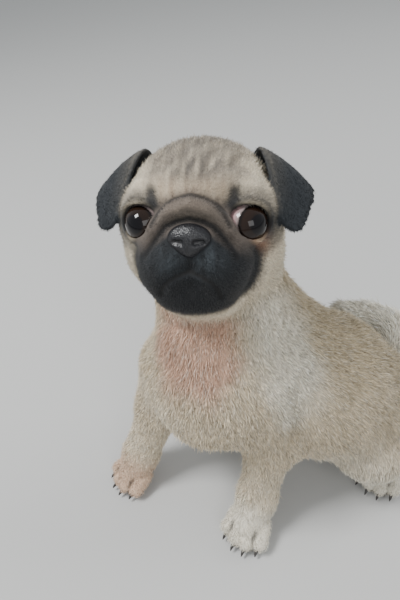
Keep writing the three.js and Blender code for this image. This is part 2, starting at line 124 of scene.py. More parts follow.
def unit(v):
    v = np.asarray(v, dtype=float)
    return v / np.maximum(np.linalg.norm(v, axis=-1, keepdims=True), 1e-9)


head_turn = np.array((
    Matrix.Rotation(math.radians(HEAD_YAW), 3, "Z")
    @ Matrix.Rotation(math.radians(HEAD_PITCH), 3, "X")
    @ Matrix.Rotation(math.radians(HEAD_ROLL), 3, "Y")
))


def into_head(p):
    return (p - vec(HEAD_AT)) @ head_turn


def out_of_head(p):
    return np.asarray(p, dtype=float) @ head_turn.T + vec(HEAD_AT)


# Signed distance of each simple form, for many points at once: negative inside
def pebble(centre, size):
    centre, size = vec(centre), vec(size)

    def form(p):
        q = (p - centre) / size
        near = np.linalg.norm(q, axis=1)
        slope = np.maximum(np.linalg.norm(q / size, axis=1), 1e-9)
        return near * (near - 1) / slope
    return form


def bone(a, b, ra, rb):
    a, b = vec(a), vec(b)
    along = b - a
    square = along @ along

    def form(p):
        t = np.clip((p - a) @ along / square, 0, 1)
        return np.linalg.norm(p - a - t[:, None] * along, axis=1) - (ra + (rb - ra) * t)
    return form


def cord(points, ra, rb):
    count = len(points) - 1
    bones = [
        bone(points[i], points[i + 1], ra + (rb - ra) * i / count, ra + (rb - ra) * (i + 1) / count)
        for i in range(count)
    ]

    def form(p):
        return np.min([one(p) for one in bones], axis=0)
    return form


def blend(a, b, k):
    """The union of two fields, rounded over a width k."""
    h = np.maximum(k - np.abs(a - b), 0) / k
    return np.minimum(a, b) - h * h * k / 4


def gather(forms):
    """Forms joined one by one, each with its own softness; a negative one is cut away."""
    def field(p):
        total = forms[0][0](p)
        for form, k in forms[1:]:
            value = form(p)
            total = blend(total, value, k) if k > 0 else -blend(-total, value, -k)
        return total
    return field


def both(make):
    """The left form and the right one."""
    return [make(1), make(-1)]


def flipped(points, side):
    return [(x * side, y, z) for x, y, z in points]


ROLL = ((0, -38, 8.5), (8, -37.5, 6.5), (14.5, -35.5, 0.5), (19, -32, -7), (22, -28, -16))
BROW = ((7, -29, 16), (15, -26.5, 18), (24, -23, 14))
head_field = gather([
    (pebble((0, 9, 3), (37, 38, 35)), 1),
    (pebble((0, -9, 9), (30, 24, 22)), 14),
    *both(lambda s: (pebble((s * 20, 0, -15), (19, 23, 21)), 12)),
    *both(lambda s: (pebble((s * 26, -12, 2), (12.5, 13, 13)), 8)),
    *both(lambda s: (pebble((s * 11, -30, -19), (14.5, 14, 15)), 8)),
    (pebble((0, -26, -34), (17, 13, 9)), 9),
    (pebble((0, -33, -5), (14, 9, 9)), 8),
    *both(lambda s: (cord(flipped(ROLL, s), 4.6, 3.6), 4)),
    *both(lambda s: (cord(flipped(BROW, s), 3.6, 3), 9)),
])


TOE_PLACES = (-1.5, -0.5, 0.5, 1.5)   # across the paw, in toe widths
TOE_SPACING = 7.0


def toe_back(place):
    """How far each toe's end lies behind the paw's tip: the outer toes are shorter."""
    return -8.5 if abs(place) > 1 else -5


def paw_frame(wrist, toes):
    """The way a paw points, and a function for places measured from its tip."""
    wrist, toes = vec(wrist), vec(toes)
    aim = unit((toes - wrist) * (1, 1, 0))
    side = np.array((-aim[1], aim[0], 0))

    def at(forward, across, up):
        return toes * (1, 1, 0) + aim * forward + side * across + vec((0, 0, up))
    return aim, side, at


def paw_forms(wrist, toes):
    _, _, at = paw_frame(wrist, toes)
    reach = np.linalg.norm((vec(toes) - vec(wrist))[:2])
    forms = [(bone(at(-reach, 0, wrist[2]), at(-15, 0, 10), 11.5, 10.5), 8)]
    for place in TOE_PLACES:
        back = toe_back(place)
        toe = bone(at(back - 9, place * 5.2, 9.5), at(back, place * TOE_SPACING, 6), 6.2, 5.4)
        forms.append((toe, 1.6))
    return forms


def toe_shade_lines(wrist, toes):
    """Lines down between the toes, along which shade is painted on the hair."""
    _, _, at = paw_frame(wrist, toes)
    return [bone(at(-11, place * 6.2, 14), at(-2, place * TOE_SPACING, 4), 0, 0) for place in (-1, 0, 1)]


def foreleg_forms(leg):
    return [
        (bone(leg["shoulder"], leg["elbow"], 21, 15.5), 14),
        (bone(leg["elbow"], leg["wrist"], 14.5, 11.5), 10),
        *paw_forms(leg["wrist"], leg["toes"]),
    ]


def hindleg_forms(leg):
    return [
        (bone(leg["hip"], leg["knee"], 27, 20), 14),
        (bone(leg["knee"], leg["hock"], 15, 11), 10),
        *paw_forms((*leg["hock"][:2], 12), leg["toes"]),
    ]


# Folds of the loose skin, each a line, a radius and a softness: under the chin, at the
# armpit, down the chest, behind the shoulder and over the knee
FOLDS = (
    (
        (
            (-18, -9, 139), (-7, -9, 141), (1, -6, 143), (10, 1, 146),
            (16, 10, 147), (19, 22, 148), (18, 33, 150),
        ),
        1.6, 5,
    ),
    (((-20, -23, 109), (-8, -20, 117), (0, -15.5, 125), (-6, -13.5, 131), (-10, -11, 137)), 1.3, 4),
    (((0, -15.5, 125), (7, -20, 113), (12, -23, 104)), 1.2, 5),
    (((42, 29, 106), (47.5, 27, 92), (48.5, 23, 79)), 1.6, 8),
    (((73, 58, 47), (76, 67, 52), (75, 80, 55)), 1.5, 4),
)
body_field = gather([
    (bone(RIBS_AT, LOIN_AT, 38, 41.5), 1),
    (bone(LOIN_AT, RUMP_AT, 41.5, 37), 16),
    (pebble((0, 0, 86), (31, 26, 27)), 18),
    (bone(NAPE[0], NAPE[1], 22, 33), 16),
    (bone(NECK_AT, lerp(NECK_AT, HEAD_AT, 0.7), 30, 27), 16),
    (bone(RIBS_AT, NECK_AT, 34, 30), 14),
    *(form for leg in FORELEGS for form in foreleg_forms(leg)),
    *(form for leg in HINDLEGS for form in hindleg_forms(leg)),
    (cord(TAIL, *TAIL_RADII), 7),
    *((cord(line, radius, radius * 0.6), -k) for line, radius, k in FOLDS),
])


# Ears: a flap that rises from its root, folds over and hangs forward to its tip
def ear_middle(u, v, side):
    u, v = u[:, None], v[:, None]
    root = lerp(EAR_ROOT[0], EAR_ROOT[1], u)
    crown = lerp(EAR_FOLD[0], EAR_FOLD[1], u) + vec((0, -2, 6)) * (u * 0 + 1)
    crown[:, 2] += (6 * np.sin(np.pi * u) - 6)[:, 0]
    spread = unit(vec(EAR_FOLD[1]) - vec(EAR_FOLD[0])) * (u - 0.5) * EAR_TIP_WIDTH
    hang = vec(EAR_TIP) + spread + vec((0, 0, 4)) * (2 * u - 1) ** 2
    return (root * (1 - v) ** 2 + crown * 2 * v * (1 - v) + hang * v * v) * (side, 1, 1)


EAR_GRID = 44                  # samples across an ear, and as many along it
EAR_ACROSS = (0.04, 0.96)
EAR_ALONG = (0, 0.95)


def ear_samples(side):
    """Points of an ear's middle sheet, the way each faces, and half the flap's thickness there."""
    u, v = np.meshgrid(np.linspace(*EAR_ACROSS, EAR_GRID), np.linspace(*EAR_ALONG, EAR_GRID))
    u, v = u.ravel(), v.ravel()
    step = 0.01
    du = ear_middle(u + step, v, side) - ear_middle(u - step, v, side)
    dv = ear_middle(u, v + step, side) - ear_middle(u, v - step, side)
    edge = np.minimum(1, np.minimum(4 * np.minimum(u, 1 - u) + 0.6, 5 * (1 - v) + 0.6))
    return ear_middle(u, v, side), unit(np.cross(du, dv)), edge * EAR_THICKNESS / 2 + FACE_DEPTH


EARS = {side: ear_samples(side) for side in (1, -1)}
EAR_REACH = 6.0                # beyond this, an ear's distance isn't worked out


def ear_field(p, side):
    points, normals, half = EARS[side]
    out = np.full(len(p), EAR_REACH * 2)
    near = np.all((p > points.min(0) - EAR_REACH) & (p < points.max(0) + EAR_REACH), axis=1)
    chosen = np.nonzero(near)[0]
    for part in np.array_split(chosen, max(1, len(chosen) // 4000)):
        if len(part) == 0:
            continue
        away = ((p[part, None, :] - points[None, :, :]) ** 2).sum(2)
        best = away.argmin(1)
        offset = p[part] - points[best]
        high = np.abs((offset * normals[best]).sum(1))
        wide = np.sqrt(np.maximum((offset ** 2).sum(1) - high ** 2, 0))
        out[part] = np.hypot(high, np.maximum(wide - 0.9, 0)) - half[best]
    return out


def face_point(x, z):
    """The head's surface straight in front of x and z, in the head's frame."""
    out, inn = -70.0, 0.0
    for _ in range(26):
        y = (out + inn) / 2
        if head_field(np.array([[x, y, z]]))[0] > 0:
            out = y
        else:
            inn = y
    return (x, inn, z)


def groove(points, radius, k):
    return (cord([face_point(x, z) for x, z in points], radius, radius * 0.7), -k)


LID_LOOK = (0.40, -1, 0.0)     # the way each opening between the lids faces, on the left
LID_WIDE, LID_UP, LID_DOWN = 66, 41, 44        # degrees from its middle to its edges
LID_THICKNESS = 1.8


def lid_edge(h, side):
    """How far each point lies outside the lids' almond opening, and from the eye's centre."""
    look = unit(vec(LID_LOOK) * (side, 1, 1))
    across = unit(np.cross((0, 0, 1), look)) * -side
    up = unit(np.cross(look, across)) * side
    offset = h - vec(EYE_AT) * (side, 1, 1)
    away = np.maximum(np.linalg.norm(offset, axis=1), 1e-6)
    wide = np.degrees(np.arctan2(offset @ across, offset @ look))
    high = np.degrees(np.arcsin(np.clip(offset @ up / away, -1, 1))) + 0.10 * wide
    tall = np.where(high > 0, LID_UP, LID_DOWN)
    edge = (np.hypot(wide / LID_WIDE, high / tall) - 1) * np.radians(LID_UP) * EYE_RADIUS
    return edge, away


def lid_field(h, side):
    """A shell over the eye, open where the lids part."""
    edge, away = lid_edge(h, side)
    shell = np.abs(away - EYE_RADIUS - LID_THICKNESS / 2 - 0.1) - LID_THICKNESS / 2 - FACE_DEPTH
    return -blend(-shell, edge, 1.2)


# Creases of the face, left half, x and z; each has a width and the darkness of the painted shade laid along
# it
UPPER_CREASE = ((0, 14), (6, 12.6), (10.5, 10.2), (14, 6.4), (17, 1))
LOWER_CREASE = ((0, 4.4), (5.5, 3.2), (10, 1), (13.5, -3), (17, -7.5), (20, -12))
CREASES = ((UPPER_CREASE, 1.5, 0.75), (LOWER_CREASE, 2.4, 0.95), (MOUTH, 1.7, 0.95))
PHILTRUM = ((0, -17.5), (0, -14), (0, -10))
FOREHEAD_FOLDS = (
    (((-3, 20), (-6, 27), (-7, 33)), 0.9), (((4, 20), (8, 27), (8, 34)), 0.9),
    (((-14, 24), (-17, 29), (-16, 34)), 0.8), (((16, 24), (19, 29), (18, 34)), 0.8),
)
face_detail = [
    *both(lambda s: groove([(x * s, z) for x, z in MOUTH], 1.2, 2.2)),
    groove(PHILTRUM, 0.7, 1.6),
    *(groove(line, radius, 3) for line, radius in FOREHEAD_FOLDS),
    *both(lambda s: groove([(x * s, z) for x, z in UPPER_CREASE], 1.5, 2.6)),
    *both(lambda s: groove([(x * s, z) for x, z in LOWER_CREASE], 1.5, 2.6)),
]
face_field = gather([(head_field, 1), *face_detail])


HEAD_BOX = ((-75, -60, -60), (75, 60, 60))


def flesh(p):
    """The puppy's outline with its folds, before the coat's depth comes off."""
    q = into_head(p)
    near = np.all((q > HEAD_BOX[0]) & (q < HEAD_BOX[1]), axis=1)
    value = body_field(p)
    if near.any():
        h = q[near]
        face = face_field(h)
        for side in (1, -1):
            eye = np.linalg.norm(h - vec((EYE_AT[0] * side, EYE_AT[1], EYE_AT[2])), axis=1) - EYE_RADIUS
            face = -blend(-face, eye - 0.1, 1.0)
            face = blend(face, lid_field(h, side), 2.6)
        whole = blend(face, value[near], 12)
        for side in (1, -1):
            whole = blend(whole, ear_field(h, side), 2.0)
        value[near] = whole
    return value


def depth(p):
    """How far the skin lies inside the outline, for each point."""
    q = into_head(p)
    head = smooth(-62, -40, -np.linalg.norm(q, axis=1))
    paw = smooth(-24, -12, -p[:, 2])
    return COAT_DEPTH + (FACE_DEPTH - COAT_DEPTH) * np.maximum(head, paw * 0.6)


SKIN_FLOOR = 0.15              # the skin's soles are cut flat at this height


def skin_field(p):
    lifted = p - vec((0, 0, SOLE_SINK))
    return np.maximum(flesh(lifted) + depth(p), SKIN_FLOOR - p[:, 2])


# Meshing: a field becomes one closed surface, worked out only near the surface
LOW, HIGH = vec((-84, -74, -6)), vec((104, 154, 232))   # a box around the whole puppy
BLOCK = 8                      # cells along the side of each block that is tried roughly first
FAR = 9.0                      # stands for any distance well away from the surface
CORNERS = np.array([(n & 1, (n >> 1) & 1, (n >> 2) & 1) for n in range(8)])


def evaluate(field, points):
    return np.concatenate([field(part) for part in np.array_split(points, len(points) // 200000 + 1)])


def sample(field, low, high, cell):
    """A field's values on a grid, exact in the blocks that the surface may pass through."""
    blocks = np.ceil((high - low) / (cell * BLOCK)).astype(int)
    shape = blocks * BLOCK + 1
    index = np.stack(np.meshgrid(*(np.arange(n) for n in blocks), indexing="ij"), -1).reshape(-1, 3)
    centres = low + (index + 0.5) * BLOCK * cell
    rough = evaluate(field, centres)
    values = np.full(shape, FAR, dtype=np.float32)
    reach = BLOCK * cell * 0.87 + 3
    inner = index[rough < -reach]
    local = np.stack(np.meshgrid(*[np.arange(BLOCK + 1)] * 3, indexing="ij"), -1).reshape(-1, 3)
    for i, j, k in inner * BLOCK:
        values[i:i + BLOCK + 1, j:j + BLOCK + 1, k:k + BLOCK + 1] = -FAR
    nodes = (index[np.abs(rough) <= reach][:, None, :] * BLOCK + local).reshape(-1, 3)
    flat = np.unique(np.ravel_multi_index(nodes.T, shape))
    nodes = np.stack(np.unravel_index(flat, shape), -1)
    values[tuple(nodes.T)] = evaluate(field, low + nodes * cell)
    return values


def surface(field, low, high, cell):
    """Surface nets over the sampled field: vertices and quads."""
    f = sample(field, low, high, cell)
    inside = f < 0
    cell_shape = np.array(f.shape) - 1
    wide, deep, tall = cell_shape
    count = sum(inside[i:i + wide, j:j + deep, k:k + tall].astype(np.int8) for i, j, k in CORNERS)
    cells = np.stack(np.nonzero((count > 0) & (count < 8)), -1)
    corner = np.stack([f[tuple((cells + c).T)] for c in CORNERS], 1).astype(float)
    total = np.zeros((len(cells), 3))
    hits = np.zeros(len(cells))
    for a in range(8):
        for axis in range(3):
            b = a | (1 << axis)
            if b == a:
                continue
            cross = (corner[:, a] < 0) != (corner[:, b] < 0)
            t = corner[cross, a] / (corner[cross, a] - corner[cross, b])
            total[cross] += CORNERS[a] + t[:, None] * (CORNERS[b] - CORNERS[a])
            hits[cross] += 1
    points = low + (cells + total / hits[:, None]) * cell
    number = np.full(cell_shape, -1, dtype=np.int32)
    number[tuple(cells.T)] = np.arange(len(cells))
    quads = []
    for axis in range(3):
        ahead = [slice(None)] * 3
        ahead[axis] = slice(1, None)
        behind = [slice(None)] * 3
        behind[axis] = slice(0, -1)
        here, there = inside[tuple(behind)], inside[tuple(ahead)]
        edges = np.stack(np.nonzero(here != there), -1)
        starts_inside = here[tuple(edges.T)]
        u, v = np.eye(3, dtype=int)[(axis + 1) % 3], np.eye(3, dtype=int)[(axis + 2) % 3]
        around = ((0, 0), (1, 0), (1, 1), (0, 1))
        quad = np.stack([number[tuple((edges - m * u - n * v).T)] for m, n in around], 1)
        quad[~starts_inside] = quad[~starts_inside][:, ::-1]
        quads.append(quad)
    return points, np.concatenate(quads)


def packed_shift():
    """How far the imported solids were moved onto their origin, found from the left eye."""
    low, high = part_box("eye_left")
    return (vec(low) + vec(high)) / 2 / MM - out_of_head(vec(EYE_NODE_AT))


SHIFT = packed_shift()


def to_metres(p):
    return (np.asarray(p) + SHIFT) * MM


# Colours, as sRGB turned to the linear values that shaders use
def tone(red, green, blue):
    s = np.array((red, green, blue)) / 255
    return np.where(s <= 0.04045, s / 12.92, ((s + 0.055) / 1.055) ** 2.4)


FAWN = tone(224, 208, 180)
CREAM = tone(234, 220, 195)
BACK = tone(192, 176, 146)
WHITE = tone(244, 238, 222)
THROAT = tone(214, 172, 148)
PEACH = tone(222, 184, 156)
MASK = tone(20, 22, 25)
# The colour of a painted highlight on the upper lip
MASK_PAINTED_HIGHLIGHT = tone(66, 73, 78)
BROW_TONE = tone(166, 146, 124)
ROLL_TONE = tone(104, 94, 86)
SILVER = tone(150, 139, 124)
SMOKE = tone(84, 80, 76)
EAR_TONE = tone(43, 47, 51)
RUST = tone(150, 104, 74)


def lay(colour, over, weight):
    return colour + (over - colour) * np.clip(weight, 0, 1)[:, None]


def wobble(p, size, seed):
    """Smooth random waves, the same for skin and coat, from about -1 to 1."""
    waves = np.random.default_rng(seed)
    total = np.zeros(len(p))
    for _ in range(6):
        way = unit(waves.normal(size=3)) / size * waves.uniform(0.7, 1.6)
        total += np.sin(p @ way * 2 * np.pi + waves.uniform(0, 6.3))
    return total / 2.6


def head_share(h):
    """1 on the head and ears, fading to 0 on the neck."""
    on_ears = np.min([ear_field(h, side) for side in (1, -1)], axis=0)
    return np.maximum(smooth(7, 1, head_field(h)) * smooth(-50, -40, h[:, 2]), smooth(4, 2, on_ears))


def head_colour(h):
    """The colour of face, forehead and muzzle, from places in the head's frame."""
    x, y, z = h.T
    ax = np.abs(x)
    front = smooth(0, -12, y)
    drift = wobble(h, 16, 3) * 1.6
    streaks = 0.5 + 0.5 * wobble(h * (1.0, 0.15, 0.15), 3.4, 5)
    colour = np.tile(CREAM, (len(h), 1))
    crown = smooth(13, 22, z + drift) * smooth(27, 17, ax + drift) * smooth(26, -6, y)
    colour = lay(colour, SILVER, crown * (0.65 + 0.35 * streaks))
    between = smooth(24, 16, z) * smooth(6, 10, z) * smooth(20, 12, ax) * front
    colour = lay(colour, BROW_TONE, between * (0.45 + 0.4 * streaks))
    colour = lay(colour, FAWN, 0.7 * smooth(0, 22, y))
    patch = np.exp(-(x / 11) ** 2 - ((z - 26) / 7) ** 2) * smooth(20, 0, y)
    colour = lay(colour, SMOKE, patch * (0.25 + 0.6 * streaks))
    bar = np.exp(-((ax - 17.3 - (z - 11) * 0.1) / 2.6) ** 4) * smooth(20, 15, z) * smooth(-1, 4, z) * front
    colour = lay(colour, MASK, 0.95 * bar)
    round_eye = np.hypot(ax - 24, (z - 1) * 1.1) + drift * 0.5
    colour = lay(colour, SMOKE, 0.6 * front * smooth(20, 14, round_eye))
    for side in (1, -1):
        edge, away = lid_edge(h, side)
        near = smooth(EYE_RADIUS + 7, EYE_RADIUS + 3, away)
        colour = lay(colour, MASK * 1.5, 0.8 * smooth(5.0, 2.0, edge + 0.4 * drift) * near)
        colour = lay(colour, MASK * 0.4, smooth(1.9, 0.9, edge) * near)
    rust = np.exp(-((x - 27.5) / 5) ** 2 - ((z + 9) / 5.5) ** 2) * front
    colour = lay(colour, RUST, 0.9 * rust)
    muzzle = np.hypot(x / 32, (z + 18) / 22) + drift * 0.02
    colour = lay(colour, MASK, smooth(1.06, 0.88, muzzle) * smooth(-6, -16, y + 0.2 * ax))
    # Painted highlight: a blue-grey sheen laid on the black of the upper lip
    upper_lip_highlight = np.exp(-((ax - 9) / 8) ** 2 - ((z + 13) / 7) ** 2) * smooth(-26, -34, y)
    colour = lay(colour, MASK_PAINTED_HIGHLIGHT, upper_lip_highlight * (0.25 + 0.45 * streaks))
    band = cord(ROLL, 4.6, 3.2)(np.stack([ax, y, z], 1))
    colour = lay(colour, ROLL_TONE, 0.9 * smooth(5, 1, band) * smooth(-15, -4, z))
    # Painted shade: the creases and the mouth line are darkened along their lines
    flat = np.stack([ax, y * 0, z], 1)
    for crease, width, dark in CREASES:
        line = cord([(a, 0, b) for a, b in crease], 0, 0)(flat)
        colour = lay(colour, MASK * 0.3, dark * smooth(width, 0.4, line) * smooth(-22, -28, y))
    return colour


BACK_LINE = (NAPE[0], NAPE[1], (20, 74, 100), RUMP_AT)
# Lines between the toes where painted shade is laid
TOE_SHADE_LINES = []
for leg in (*FORELEGS, *HINDLEGS):
    TOE_SHADE_LINES += toe_shade_lines(leg.get("wrist", leg.get("hock")), leg["toes"])
PAW_TIPS = [vec(leg["toes"]) for leg in (*FORELEGS, *HINDLEGS)]


def coat_colour(p):
    """The coat's colour at each point, for skin and tufts alike."""
    x, y, z = p.T
    drift = wobble(p, 30, 7)
    colour = np.tile(FAWN, (len(p), 1))
    spine = cord(BACK_LINE, 0, 0)(p)
    colour = lay(colour, BACK, 0.9 * smooth(56, 26, spine + 5 * drift) * smooth(40, 80, z))
    shoulder = pebble((26, 34, 118), (22, 14, 38))(p)
    colour = lay(colour, WHITE, 0.8 * smooth(14, -6, shoulder + 4 * drift))
    belly = smooth(70, 42, z) * smooth(20, 50, y) * smooth(90, 60, y)
    colour = lay(colour, WHITE, 0.45 * belly)
    throat = pebble((5, -8, 138), (25, 22, 30))(p)
    colour = lay(colour, THROAT, 0.85 * smooth(9, -8, throat + 3 * drift))
    # Painted shade: a darker pink along each fold line of the loose skin
    folds = np.min([cord(line, 0, 0)(p) for line, _, _ in FOLDS], axis=0)
    colour = lay(colour, THROAT * 0.55, 0.4 * smooth(3.2, 0.8, folds))
    chest = pebble((-6, -30, 84), (22, 20, 26))(p)
    colour = lay(colour, CREAM, 0.6 * smooth(8, -8, chest))
    legs = smooth(66, 40, z) * smooth(40, 20, y)
    colour = lay(colour, CREAM, 0.8 * legs)
    for place, tip in enumerate(PAW_TIPS):
        near = smooth(44, 24, np.linalg.norm(p - tip, axis=1))
        colour = lay(colour, PEACH if place == 1 else WHITE, 0.75 * near)
    # Painted shade between the toes
    colour = lay(colour, SMOKE * 0.35, 0.9 * smooth(2.8, 1.2, np.min([gap(p) for gap in TOE_SHADE_LINES], axis=0)))
    tail = cord(TAIL, *TAIL_RADII)(p)
    colour = lay(colour, WHITE, 0.95 * smooth(6, 1, tail) * smooth(60, 72, z))
    h = into_head(p)
    on_head = head_share(h)
    colour = colour * (1 - on_head)[:, None] + head_colour(h) * on_head[:, None]
    for side in (1, -1):
        ear = ear_field(h, side)
        # Painted light: the ear's dark colour turns lighter and greyer towards its top
        shade = EAR_TONE + (SMOKE - EAR_TONE) * (0.7 * smooth(22, 44, h[:, 2]))[:, None]
        colour = lay(colour, shade, smooth(2.2, 0.2, ear))
    return np.clip(colour, 0.004, 1)


# The lie of the coat: each bone pulls the hair beside it along itself
def lie_bones():
    bones = [
        (NAPE[0], NAPE[1], 30), (NECK_AT, (-4, 2, 88), 30), (NAPE[1], LOIN_AT, 34), (LOIN_AT, RUMP_AT, 30),
        (RIBS_AT, (20, 62, 40), 30),
    ]
    for leg in FORELEGS:
        bones += [(leg["shoulder"], leg["elbow"], 14), (leg["elbow"], leg["wrist"], 9)]
        bones += [(leg["wrist"], leg["toes"], 9)]
    for leg in HINDLEGS:
        bones += [(leg["hip"], leg["knee"], 18), (leg["knee"], leg["hock"], 12)]
        bones += [(leg["hock"], leg["toes"], 9)]
    bones += [(TAIL[i], TAIL[i + 1], 7) for i in range(len(TAIL) - 1)]
    return [(vec(a), vec(b), r) for a, b, r in bones]


WHORL_AT = (0, -44, 2)         # the face's hair spreads from here, in the head's frame


def lie(p, normals):
    """The way the hair lies at each point, along the surface."""
    total = np.zeros_like(p)
    for a, b, r in lie_bones():
        away = np.maximum(bone(a, b, r, r)(p), -r)
        total += unit(b - a) * np.exp(-away / 7)[:, None]
    h = into_head(p)
    spread = unit(h - vec(WHORL_AT)) + vec((0, 0.55, 0))
    spread[:, 2] += 0.5 * smooth(0, 20, h[:, 2]) - 0.3 * smooth(-8, -26, h[:, 2])
    on_head = head_share(h)
    total = unit(total) * (1 - on_head)[:, None] + unit(spread @ head_turn.T) * on_head[:, None]
    for side in (1, -1):
        near = smooth(2.5, 0.5, ear_field(h, side))
        down = unit(vec(((EAR_TIP[0] - 44) * side, EAR_TIP[1] - 2, EAR_TIP[2] - 30)))
        total = total * (1 - near)[:, None] + (down @ head_turn.T) * near[:, None]
    total -= normals * (total * normals).sum(1)[:, None]
    return unit(total)


# An unwrap of the skin's own shape: a chart for each part of the body and each way it faces
CHART_BONES = [
    (HEAD_AT, 44), (NECK_AT, 34), (RIBS_AT, 42), (LOIN_AT, 42), (RUMP_AT, 40), (TAIL[2], 20),
    *[(leg[joint], 16) for leg in FORELEGS for joint in ("wrist", "elbow")],
    *[(leg[joint], 16) for leg in HINDLEGS for joint in ("hock", "knee")],
]
CHART_COLUMNS = 9
CHART_REACH = 120.0


def unwrap(p, normals):
    """A place on the OFBake map for each point."""
    away = np.stack([np.linalg.norm(p - vec(at), axis=1) - r for at, r in CHART_BONES], 1)
    part = away.argmin(1)
    axis = np.abs(normals).argmax(1)
    sign = (normals[np.arange(len(p)), axis] > 0).astype(int)
    chart = part * 6 + axis * 2 + sign
    offset = p - np.array([vec(at) for at, _ in CHART_BONES])[part]
    first, second = (axis + 1) % 3, (axis + 2) % 3
    row = np.arange(len(p))
    local = np.stack([offset[row, first], offset[row, second]], 1) / CHART_REACH + 0.5
    rows = math.ceil(len(CHART_BONES) * 6 / CHART_COLUMNS)
    cell = np.stack([chart % CHART_COLUMNS, chart // CHART_COLUMNS], 1)
    side = 1 / max(CHART_COLUMNS, rows)
    return (cell + np.clip(local, 0.03, 0.97)) * side


def new_mesh(name, points, faces, uvs, colours=None):
    """An object from points in millimetres, faces of one size, and values for each corner."""
    faces = np.asarray(faces)
    mesh = bpy.data.meshes.new(name)
    mesh.vertices.add(len(points))
    mesh.vertices.foreach_set("co", to_metres(points).astype(np.float32).ravel())
    mesh.loops.add(faces.size)
    mesh.loops.foreach_set("vertex_index", faces.astype(np.int32).ravel())
    mesh.polygons.add(len(faces))
    mesh.polygons.foreach_set("loop_start", np.arange(0, faces.size, faces.shape[1], dtype=np.int32))
    mesh.polygons.foreach_set("use_smooth", np.full(len(faces), True))
    layer = mesh.uv_layers.new(name="OFBake")
    layer.data.foreach_set("uv", uvs.astype(np.float32).ravel())
    if colours is not None:
        attribute = mesh.color_attributes.new("coat", "FLOAT_COLOR", "POINT")
        filled = np.concatenate([colours, np.ones((len(colours), 1))], 1)
        attribute.data.foreach_set("color", filled.astype(np.float32).ravel())
    mesh.update(calc_edges=True)
    mesh.validate()
    piece = bpy.data.objects.new(name, mesh)
    bpy.context.scene.collection.objects.link(piece)
    return piece


# Materials
def material(name):
    made = bpy.data.materials.new(name)
    made.use_nodes = True
    nodes, links = made.node_tree.nodes, made.node_tree.links
    return made, nodes, links, nodes["Principled BSDF"]


def node(nodes, kind, **values):
    made = nodes.new(kind)
    for key, value in values.items():
        if key in made.inputs:
            made.inputs[key].default_value = value
        else:
            setattr(made, key, value)
    return made


def coat_material(name, grain, bump, roughness):
    """Colour from the coat's markings, with the shade and light painted into them, broken up by fine
    hair-like noise.
    """
    made, nodes, links, shader = material(name)
    markings = node(nodes, "ShaderNodeAttribute", attribute_name="coat")
    place = node(nodes, "ShaderNodeTexCoord")
    fine = node(nodes, "ShaderNodeTexNoise", Scale=grain, Detail=4.0, Roughness=0.65)
    links.new(place.outputs["Object"], fine.inputs["Vector"])
    shade = node(nodes, "ShaderNodeMapRange")
    shade.inputs["To Min"].default_value = 0.72
    shade.inputs["To Max"].default_value = 1.22
    links.new(fine.outputs["Fac"], shade.inputs["Value"])
    mixed = node(nodes, "ShaderNodeMix", data_type="RGBA", blend_type="MULTIPLY")
    mixed.inputs["Factor"].default_value = 1.0
    links.new(markings.outputs["Color"], mixed.inputs[6])
    links.new(shade.outputs["Result"], mixed.inputs[7])
    links.new(mixed.outputs[2], shader.inputs["Base Color"])
    relief = node(nodes, "ShaderNodeBump", Strength=bump, Distance=0.0006)
    links.new(fine.outputs["Fac"], relief.inputs["Height"])
    links.new(relief.outputs["Normal"], shader.inputs["Normal"])
    shader.inputs["Roughness"].default_value = roughness
    shader.inputs["Specular IOR Level"].default_value = 0.3
    shader.inputs["Sheen Weight"].default_value = 0.08
    shader.inputs["Sheen Roughness"].default_value = 0.5
    return made


skin_look = coat_material("skin", 900.0, 0.5, 0.75)
tuft_look = coat_material("tufts", 500.0, 0.1, 0.62)


def nose_material():
    made, nodes, links, shader = material("nose_leather")
    place = node(nodes, "ShaderNodeTexCoord")
    pebbles = node(nodes, "ShaderNodeTexVoronoi", Scale=1500.0)
    links.new(place.outputs["Object"], pebbles.inputs["Vector"])
    relief = node(nodes, "ShaderNodeBump", Strength=0.6, Distance=0.0003)
    links.new(pebbles.outputs["Distance"], relief.inputs["Height"])
    links.new(relief.outputs["Normal"], shader.inputs["Normal"])
    ramp = node(nodes, "ShaderNodeValToRGB")
    ramp.color_ramp.elements[0].color = (0.004, 0.004, 0.005, 1)
    ramp.color_ramp.elements[1].color = (0.02, 0.02, 0.023, 1)
    links.new(pebbles.outputs["Distance"], ramp.inputs["Fac"])
    links.new(ramp.outputs["Color"], shader.inputs["Base Color"])
    shader.inputs["Roughness"].default_value = 0.34
    return made


def claw_material():
    made, nodes, links, shader = material("claw")
    place = node(nodes, "ShaderNodeTexCoord")
    streak = node(nodes, "ShaderNodeTexNoise", Scale=700.0, Detail=3.0)
    links.new(place.outputs["Object"], streak.inputs["Vector"])
    ramp = node(nodes, "ShaderNodeValToRGB")
    ramp.color_ramp.elements[0].color = (0.01, 0.009, 0.009, 1)
    ramp.color_ramp.elements[1].color = (0.05, 0.042, 0.038, 1)
    links.new(streak.outputs["Fac"], ramp.inputs["Fac"])
    links.new(ramp.outputs["Color"], shader.inputs["Base Color"])
    shader.inputs["Roughness"].default_value = 0.3
    return made


